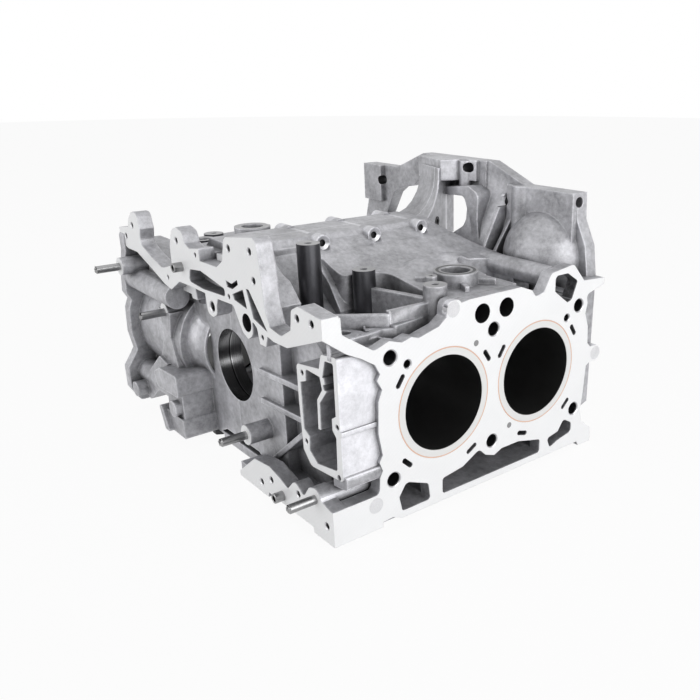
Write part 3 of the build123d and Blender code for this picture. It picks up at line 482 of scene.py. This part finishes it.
# A near-black metal that paints the shade inside the holes.
hole_shade_finish = plain_metal("hole_painted_shade", (0.10, 0.10, 0.105), 0.8, 0.35, 0.8 * MM)
copper_finish = plain_metal("copper", (0.86, 0.56, 0.42), 0.7, 0.35, 0.8 * MM)
# Near-black bolt steel, which also paints the shade in the sockets of the bolt heads.
bolt_and_socket_shade_finish = plain_metal("bolt_steel", (0.03, 0.03, 0.032), 0.6, 0.4, 0.6 * MM)
plug_finish = plain_metal("plug_aluminium", (0.84, 0.84, 0.86), 0.25, 0.40, 0.9 * MM)
dark_finish = plain_metal("dark_plug", (0.035, 0.035, 0.038), 0.4, 0.5, 0.7 * MM)
print("finishes", len(bpy.data.materials))

# %% [markdown]
# ## The finish of each face
# A casting has several finishes, one for each kind of face. They could be painted on by hand, but a face
# tells its own kind: it is milled when it lies in a milled plane and looks the same way, turned when it lies
# at the height of a post's top, and so on. What is left is cast skin. The planes, the heights and the posts
# (X, Y and radius) are those of the packed solids, in mm.

# %% Kinds of faces
# Some kinds of face paint light or shade: a near-black metal paints shade inside holes and on the smooth
# sides of some posts, a darker cast skin paints shade in shut-in openings, and a lighter one paints light on
# faces turned to the right softbox.
CAST, MILLED, BORED, SHADED_POST, TURNED, SHADED_HOLE, LIT_CAST, SHADED_CAST = range(8)
casting_finishes = (
    cast_finish, milled_finish, bored_finish, post_shade_finish,
    turned_finish, hole_shade_finish, lit_cast_finish, shaded_cast_finish,
)
leftwards, rightwards, forwards, rearwards, upwards, downwards = (
    Vector(way) for way in ((1, 0, 0), (-1, 0, 0), (0, -1, 0), (0, 1, 0), (0, 0, 1), (0, 0, -1))
)
head_plane = high.x
head_planes = [(leftwards, head_plane), (rightwards, head_plane)]
front_planes = [(forwards, distance * MM) for distance in (23.5, 9.5, 40, 38, 37.5)]
other_planes = [(downwards, 95 * MM), (rearwards, 300 * MM), (upwards, 70 * MM)]
milled_planes = head_planes + front_planes + other_planes
turned_heights = [height * MM for height in (125, 100, 97, 99, 113, 119, 98, 102, 96)]
# Posts, by X, Y and radius in mm, whose smooth sides get painted shade.
shaded_posts = [(75, 45, 10.5), (101, 85, 10.5), (-60, 8, 11), (-152, 60, 10.5), (-104, 130, 10.5)]
main_bore = 36.0 * MM
flush, straight = 0.05 * MM, 0.999
post_slack, bore_slack = 0.2 * MM, 0.3 * MM
rough_front_x, rough_front_z = -40 * MM, 35 * MM
# The faces turned to the right softbox within this box get painted light.
lit_cast_x, lit_cast_y = (185 * MM, 201.5 * MM), 40 * MM
opening_x, opening_y, opening_z = (176 * MM, head_plane), (222 * MM, 272 * MM), (52 * MM, 98 * MM)
opening_width = 32 * MM


def within(value, span):
    """Whether a value lies inside a span."""
    return span[0] < value < span[1]


def kind_of_face(face):
    """Which finish a face of a casting has."""
    normal, centre = face.normal, face.center
    for way, distance in milled_planes:
        if normal.dot(way) > straight and abs(centre.dot(way) - distance) < flush:
            as_cast = way.y < 0 and centre.x < rough_front_x and centre.z < rough_front_z
            return CAST if as_cast else MILLED
    if normal.z > straight and min(abs(centre.z - height) for height in turned_heights) < flush:
        return TURNED
    # Painted shade on the smooth sides of these posts.
    for x, y, radius in shaded_posts:
        reach = hypot(centre.x - x * MM, centre.y - y * MM)
        if abs(normal.z) < 0.01 and abs(reach - radius * MM) < post_slack:
            return SHADED_POST
    if abs(normal.y) < 0.02 and abs(hypot(centre.x, centre.z) - main_bore) < bore_slack:
        return BORED
    # Painted light: a lighter cast skin for the faces turned to the right softbox just below the head face.
    if normal.x > 0.6 and within(centre.x, lit_cast_x) and centre.y < lit_cast_y:
        return LIT_CAST
    return CAST


def behind_deck(piece, face):
    """Whether a face lies in the cored opening of a head face: near it, and shut in on the far side."""
    normal, centre = face.normal, face.center
    near = within(abs(centre.x), opening_x) and within(centre.y, opening_y) and within(centre.z, opening_z)
    if not near or abs(normal.x) > 0.9:
        return False
    return piece.ray_cast(centre + normal * 0.2 * MM, normal, distance=opening_width)[0]


print("milled planes", len(milled_planes), "turned heights", len(turned_heights))

# %% [markdown]
# ## Copies of the castings
# The packed meshes are loose triangles that must stay as they are. A copy has its triangles joined up, so
# that it can be smoothed, cut and given finishes of its own, and it then takes the node's place.


# %% Copies of the packed pieces
joining_distance, turned_angle = 0.002 * MM, radians(28)


def select_only(piece):
    """Selects one piece, because an operator acts on all that is selected."""
    bpy.ops.object.select_all(action="DESELECT")
    bpy.context.view_layer.objects.active = piece
    piece.select_set(True)


def edit_all():
    """Enters edit mode with the whole mesh selected."""
    bpy.ops.object.mode_set(mode="EDIT")
    bpy.ops.mesh.select_all(action="SELECT")


def edit_done():
    """Leaves edit mode, so that the mesh takes up what was edited."""
    bpy.ops.object.mode_set(mode="OBJECT")


def copy_of(name, node):
    """A new piece from a CAD node's mesh, with its loose triangles joined up."""
    piece = bpy.data.objects.new(name, nodes[node].data.copy())
    bpy.context.scene.collection.objects.link(piece)
    select_only(piece)
    bpy.ops.mesh.customdata_custom_splitnormals_clear()
    edit_all()
    bpy.ops.mesh.remove_doubles(threshold=joining_distance)
    edit_done()
    bpy.ops.object.shade_smooth_by_angle(angle=turned_angle)
    piece.data.materials.clear()
    return piece


castings = {side: copy_of(f"{side}_casting", f"case_half_{side}") for side in ("left", "right")}
print([(piece.name, len(piece.data.polygons)) for piece in castings.values()])

# %% [markdown]
# ## Cuts in the castings
# The wall of the bell is open round the crank, and the wall beside the port of the left half is low. Both are
# cut with a plain solid and a Boolean modifier, as a machinist would bore and mill them. The cut can leave
# slivers, so doubles are merged and faces without area are dissolved.

# %% Cuts in the castings
seal_radius, case_rear = 46.0 * MM, 261.25 * MM
cutter_length, cutter_middle = 30 * MM, case_rear + 10 * MM
port_wall_cuts = [
    ((167, 193), (-8.3, 56.7), (70.05, 91)),
    ((182.5, 193), (-8.3, 40), (61, 72)),
]


def bore_cutter():
    """A round cutter on the crank's axis."""
    bpy.ops.object.select_all(action="DESELECT")
    bpy.ops.mesh.primitive_cylinder_add(
        vertices=96, radius=seal_radius, depth=cutter_length,
        location=(0, cutter_middle, 0), rotation=(pi / 2, 0, 0),
    )
    return bpy.context.object


def block_cutter(*spans):
    """A block from its spans in mm along X, Y and Z."""
    bpy.ops.object.select_all(action="DESELECT")
    centre, size = zip(*(((start + end) / 2 * MM, (end - start) * MM) for start, end in spans))
    bpy.ops.mesh.primitive_cube_add(size=1.0, location=centre)
    bpy.ops.transform.resize(value=size)
    bpy.ops.object.transform_apply()
    return bpy.context.object


def cut_away(piece, cutter):
    """Takes a cutter's shape out of a casting."""
    select_only(piece)
    cut = piece.modifiers.new("cut", "BOOLEAN")
    cut.operation = "DIFFERENCE"
    cut.solver = "EXACT"
    cut.object = cutter
    before = len(piece.data.polygons)
    bpy.ops.object.modifier_apply(modifier=cut.name)
    bpy.data.objects.remove(cutter)
    edit_all()
    bpy.ops.mesh.remove_doubles(threshold=0.01 * MM)
    bpy.ops.mesh.dissolve_degenerate(threshold=0.005 * MM)
    edit_done()
    print(piece.name, "faces", before, "to", len(piece.data.polygons))


for piece in castings.values():
    cut_away(piece, bore_cutter())
for spans in port_wall_cuts:
    cut_away(castings["left"], block_cutter(*spans))

# %% [markdown]
# ## Mouths of the holes
# Every hole in a milled face gets painted shade inside and has a small turned chamfer. A list of all the
# holes would be long and easy to get wrong, so they are found: a hole's mouth is a ring of sharp edges, all
# equally far from their centre, between a milled face and a wall that looks inwards.


# %% Mouths of the holes
sharp_angle = radians(75)
fewest_edges, round_enough = 8, 0.15 * MM


def mouth_edges(mesh):
    """The sharp edges between a milled face and a face of another kind, each with those two faces."""
    rims = {}
    for edge in mesh.edges:
        if len(edge.link_faces) != 2 or edge.calc_face_angle(0) < sharp_angle:
            continue
        flat, wall = sorted(edge.link_faces, key=lambda face: face.material_index != MILLED)
        if flat.material_index == MILLED and wall.material_index != MILLED:
            rims[edge] = (flat, wall)
    return rims


def joined_edges(start, rims, seen):
    """All the edges of the ring that one edge belongs to."""
    ring, queue = [], [start]
    seen.add(start)
    while queue:
        edge = queue.pop()
        ring.append(edge)
        for corner in edge.verts:
            for other in corner.link_edges:
                if other in rims and other not in seen:
                    seen.add(other)
                    queue.append(other)
    return ring


def round_mouths(piece, largest):
    """The round holes in the milled planes: the centre, radius and direction of each mouth."""
    mesh = bmesh.new()
    mesh.from_mesh(piece.data)
    rims = mouth_edges(mesh)
    mouths, seen = [], set()
    for start in rims:
        if start in seen:
            continue
        ring = joined_edges(start, rims, seen)
        corners = {corner for edge in ring for corner in edge.verts}
        centre = sum((corner.co for corner in corners), Vector()) / len(corners)
        reaches = [(corner.co - centre).length for corner in corners]
        flat, wall = rims[start]
        hollow = (wall.calc_center_median() - centre).dot(wall.normal) < 0
        even = len(ring) >= fewest_edges and max(reaches) - min(reaches) < round_enough
        if hollow and even and max(reaches) < largest:
            mouths.append((centre, max(reaches), flat.normal.copy()))
    mesh.free()
    return mouths


print("mouth finders ready")

# %% [markdown]
# ## Dressing the castings
# Each face of a casting gets its kind, and cast faces shut in behind the cored opening of a head face get a
# darker copy of the cast skin as painted shade. Then the faces that lie inside a hole get painted shade.

# %% Dressing the castings
largest_hole, deepest_hole = 11 * MM, 45 * MM


def darken_holes(piece, mouths):
    """Paints shade on the faces inside each hole, with a near-black metal."""
    for face in piece.data.polygons:
        for centre, reach, way in mouths:
            offset = face.center - centre
            depth = -offset.dot(way)
            if 0.01 * MM < depth < deepest_hole and (offset + way * depth).length < reach + flush:
                face.material_index = SHADED_HOLE


all_mouths = []
for side, piece in castings.items():
    for finish in casting_finishes:
        piece.data.materials.append(finish)
    for face in piece.data.polygons:
        face.material_index = kind_of_face(face)
        # Cast faces shut in behind the opening get painted shade.
        if face.material_index == CAST and behind_deck(piece, face):
            face.material_index = SHADED_CAST
    mouths = round_mouths(piece, largest_hole)
    darken_holes(piece, mouths)
    all_mouths.extend(mouths)
    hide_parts(f"case_half_{side}")
    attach(piece, "root")
    print(piece.name, len(piece.data.polygons), "faces", len(mouths), "mouths")

# %% [markdown]
# ## Chamfers of the holes
# A tapped hole starts with a small turned chamfer that catches the light. Bevelling the mouths of a dense CAD
# mesh tears its long thin faces, so the chamfers are rings of their own, sunk into the mouths. One ring is
# made for each size of hole: a circle pulled inwards and narrowed, with a thin wall. Its copies go to the
# holes.

# %% Chamfers of the holes
smallest_mouth, largest_mouth = 1.8 * MM, 8 * MM
widest_chamfer, chamfer_share = 0.9, 0.22
chamfer_drop, skirt_drop, ring_wall = 0.8, 1.5, 0.15 * MM
chamfer_rings = {}


def look_towards(piece, way):
    """Flips an open piece whose faces look, taken together, against the given way."""
    total = sum((face.normal * face.area for face in piece.data.polygons), Vector())
    if total.dot(way) < 0:
        edit_all()
        bpy.ops.mesh.flip_normals()
        edit_done()


def chamfer_ring(radius):
    """A chamfer on the Z axis that faces up, with its wide edge at the origin."""
    size = round(radius / MM, 1)
    if size not in chamfer_rings:
        width = min(widest_chamfer, chamfer_share * size) * MM
        bpy.ops.object.select_all(action="DESELECT")
        bpy.ops.mesh.primitive_circle_add(vertices=32, radius=radius)
        ring = bpy.context.object
        edit_all()
        bpy.ops.mesh.extrude_edges_move(TRANSFORM_OT_translate={"value": (0, 0, -chamfer_drop * width)})
        shrink = 1.0 - width / radius
        bpy.ops.transform.resize(value=(shrink, shrink, 1), center_override=(0, 0, 0))
        bpy.ops.mesh.extrude_edges_move(TRANSFORM_OT_translate={"value": (0, 0, -skirt_drop * width)})
        bpy.ops.mesh.select_all(action="SELECT")
        bpy.ops.mesh.normals_make_consistent(inside=True)
        edit_done()
        look_towards(ring, upwards)
        wall = ring.modifiers.new("wall", "SOLIDIFY")
        wall.thickness = ring_wall
        wall.offset = -1
        bpy.ops.object.modifier_apply(modifier=wall.name)
        chamfer_rings[size] = ring
    return chamfer_rings[size]


copies = []
for centre, radius, way in all_mouths:
    if smallest_mouth < radius < largest_mouth:
        ring = chamfer_ring(radius).copy()
        ring.data = ring.data.copy()
        bpy.context.scene.collection.objects.link(ring)
        ring.rotation_mode = "QUATERNION"
        ring.rotation_quaternion = way.to_track_quat("Z", "Y")
        ring.location = centre
        copies.append(ring)
select_only(copies[0])
for ring in copies:
    ring.select_set(True)
bpy.ops.object.transform_apply()
bpy.ops.object.join()
chamfers = bpy.context.object
chamfers.name = "hole_chamfers"
chamfers.data.materials.append(chamfer_finish)
for ring in chamfer_rings.values():
    bpy.data.objects.remove(ring)
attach(chamfers, "root")
print("mouths", len(all_mouths), "chamfers", len(copies))

# %% [markdown]
# ## Neck of the front barrel
# Beside the crank bore the right barrel runs into the crankcase as a thin cast skirt. It starts as a circle
# that is pulled out and widened ring by ring, is cut to its front half and gets its wall from Solidify.

# %% Neck of the front barrel
barrel_y, neck_rear = 39.5 * MM, 22 * MM
neck_rings = [(-50, 46.0), (-62, 46.0), (-70, 47.5), (-80, 51.0), (-92, 55.0)]
neck_wall, soft_angle = 2.5 * MM, radians(40)


def ring_skirt(name, rings, y):
    """A skirt of rings about a line along X; each ring is its place along X and its radius, in mm."""
    bpy.ops.object.select_all(action="DESELECT")
    start, radius = rings[0]
    bpy.ops.mesh.primitive_circle_add(
        vertices=96, radius=radius * MM, location=(start * MM, y, 0), rotation=(0, pi / 2, 0),
    )
    skirt = bpy.context.object
    skirt.name = name
    bpy.ops.object.transform_apply()
    edit_all()
    for (here, small), (there, wide) in zip(rings, rings[1:]):
        bpy.ops.mesh.extrude_edges_move(TRANSFORM_OT_translate={"value": ((there - here) * MM, 0, 0)})
        grow = wide / small
        bpy.ops.transform.resize(value=(1, grow, grow), center_override=(there * MM, y, 0))
    bpy.ops.mesh.select_all(action="SELECT")
    bpy.ops.mesh.bisect(plane_co=(0, neck_rear, 0), plane_no=(0, 1, 0), clear_outer=True)
    bpy.ops.mesh.select_all(action="SELECT")
    bpy.ops.mesh.normals_make_consistent(inside=False)
    edit_done()
    wall = skirt.modifiers.new("wall", "SOLIDIFY")
    wall.thickness = neck_wall
    wall.offset = 0
    bpy.ops.object.modifier_apply(modifier=wall.name)
    bpy.ops.object.shade_smooth_by_angle(angle=soft_angle)
    return skirt


neck = ring_skirt("barrel_neck", neck_rings, barrel_y)
neck.data.materials.append(cast_finish)
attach(neck, "root")
print(neck.name, len(neck.data.polygons), "faces")

# %% [markdown]
# ## Wall beside the port
# The wall of the long arm passes inside the port and meets the rib behind it. It is a narrow plate, turned in
# plan, and its edges are bevelled because a mould has no sharp ones.

# %% Wall beside the port
wall_start, wall_end = Vector((137, 6, 60)) * MM, Vector((176, 58, 81)) * MM
wall_thickness = 4 * MM


def cast_plate(name, centre, size, turn, rounding):
    """A plate with rounded edges, turned in plan."""
    bpy.ops.object.select_all(action="DESELECT")
    bpy.ops.mesh.primitive_cube_add(size=1.0)
    plate = bpy.context.object
    plate.name = name
    bpy.ops.transform.resize(value=size)
    plate.rotation_euler = (0, 0, turn)
    plate.location = centre
    bpy.ops.object.transform_apply()
    edit_all()
    bpy.ops.mesh.bevel(offset=rounding, segments=3)
    edit_done()
    bpy.ops.object.shade_smooth_by_angle(angle=soft_angle)
    return plate


across = wall_end - wall_start
wall = cast_plate(
    "port_wall", (wall_start + wall_end) / 2, (across.xy.length, wall_thickness, across.z),
    atan2(across.y, across.x), 1.2 * MM,
)
wall.data.materials.append(cast_finish)
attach(wall, "root")
print(wall.name, len(wall.data.polygons), "faces")

# %% [markdown]
# ## Web under the front barrel
# A thin cast wall joins the barrel to the head flange and closes the corner below the long boss. It is made
# as the wall beside the port is, but stands square to the head face.

# %% Web under the front barrel
web_centre, web_size = Vector((-170, -5, -36)) * MM, Vector((44, 5, 30)) * MM
web = cast_plate("barrel_web", web_centre, web_size, 0, 1.5 * MM)
web.data.materials.append(cast_finish)
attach(web, "root")
print(web.name, len(web.data.polygons), "faces")

# %% [markdown]
# ## Heads of the case bolts
# Deep in its boss each case bolt shows a bright ring round a socket, whose faces are painted near black as
# shade.
# One head is made from a short cylinder, whose outer end is inset, moved in as a chamfer and pushed in as a
# socket.
# The others are copies.

# %% Heads of the case bolts
bolt_rows = (82.0, 141.5, 201.0)
bolt_height, boss_end, head_recess = 114.0, 40.0, 0.2
head_radius, socket_radius = 6.45 * MM, 3.4 * MM
chamfer_depth, socket_depth, head_floor = 1.6 * MM, 3.0 * MM, 0.8 * MM


def bolt_head(name):
    """A round head on the X axis that looks along +X, with its rim at the origin."""
    bpy.ops.object.select_all(action="DESELECT")
    length = socket_depth + chamfer_depth + head_floor
    bpy.ops.mesh.primitive_cylinder_add(
        vertices=48, radius=head_radius, depth=length, location=(-length / 2, 0, 0), rotation=(0, pi / 2, 0),
    )
    head = bpy.context.object
    head.name = name
    bpy.ops.object.transform_apply()
    bpy.ops.object.mode_set(mode="EDIT")
    bpy.ops.mesh.select_mode(type="FACE")
    bpy.ops.mesh.select_all(action="DESELECT")
    edit_done()
    for face in head.data.polygons:
        face.select = face.normal.x > 0.9
    bpy.ops.object.mode_set(mode="EDIT")
    bpy.ops.mesh.inset(thickness=head_radius - socket_radius)
    bpy.ops.transform.translate(value=(-chamfer_depth, 0, 0))
    bpy.ops.mesh.extrude_region_move(TRANSFORM_OT_translate={"value": (-socket_depth, 0, 0)})
    bpy.ops.mesh.select_all(action="SELECT")
    bpy.ops.mesh.normals_make_consistent(inside=False)
    edit_done()
    bpy.ops.object.shade_smooth_by_angle(angle=soft_angle)
    return head


pattern = bolt_head("bolt_head")
pattern.data.materials.append(chamfer_finish)
pattern.data.materials.append(bolt_and_socket_shade_finish)
# The socket faces take the near-black bolt steel, as painted shade.
for face in pattern.data.polygons:
    if hypot(face.center.y, face.center.z) < socket_radius + flush:
        face.material_index = 1
for side, way, turn in (("left", 1, 0), ("right", -1, pi)):
    for row, y in enumerate(bolt_rows, 1):
        head = pattern.copy()
        head.data = pattern.data.copy()
        head.name = f"bolt_head_{side}_{row}"
        bpy.context.scene.collection.objects.link(head)
        head.rotation_euler = (0, 0, turn)
        head.location = (way * (boss_end - head_recess) * MM, y * MM, bolt_height * MM)
        select_only(head)
        bpy.ops.object.transform_apply()
        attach(head, "root")
bpy.data.objects.remove(pattern)
print("bolt heads", 2 * len(bolt_rows))

# %% [markdown]
# ## Chamfered ends
# Ground pins and hollow dowels have a small chamfer at each end, so that they find their holes, and so has
# the hexagon plug. Their sharp end edges are picked by angle and bevelled.

# %% Chamfered ends
end_angle = radians(62)

for name, node, width in (
    ("pins_left", "guide_pins_left", 1.0),
    ("pins_right", "guide_pins_right", 1.0),
    ("dowels", "cover_dowels", 0.5),
    ("hexagon_plug", "drain_plug", 0.8),
):
    piece = copy_of(name, node)
    bpy.ops.object.mode_set(mode="EDIT")
    bpy.ops.mesh.select_mode(type="EDGE")
    bpy.ops.mesh.select_all(action="DESELECT")
    bpy.ops.mesh.edges_select_sharp(sharpness=end_angle)
    bpy.ops.mesh.bevel(offset=width * MM, segments=1)
    edit_done()
    piece.data.materials.append(dark_finish if node == "drain_plug" else steel_finish)
    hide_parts(node)
    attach(piece, "root")
    "dark_plug" if node == "drain_plug" else "pin_steel"
    print(piece.name, len(piece.data.polygons), "faces")

# %% [markdown]
# ## Finishes of the loose pieces
# Liners, rings, plugs, dowels and bolts already have their true form in the packed model. Only their material
# slots are filled, so their meshes stay untouched.

# %% Finishes of the loose pieces
node_finishes = {
    "liner_1": iron_finish, "liner_2": iron_finish, "liner_3": iron_finish, "liner_4": iron_finish,
    "sealing_rings": copper_finish,
    "case_dowels": steel_finish,
    "case_bolts_upper": bolt_and_socket_shade_finish, "case_bolts_lower": bolt_and_socket_shade_finish,
    "gallery_plugs_left": plug_finish, "gallery_plugs_right": plug_finish,
    "small_plugs_left": steel_finish, "small_plugs_right": steel_finish,
    "socket_plug": dark_finish,
}
for node, finish in node_finishes.items():
    slots = nodes[node].material_slots
    if not slots:
        nodes[node].data.materials.append(finish)
    for slot in slots:
        slot.link = "OBJECT"
        slot.material = finish
print("dressed", len(node_finishes), "nodes")

# %% [markdown]
# ## Sizes
# Nothing that was added may reach past the packed model.
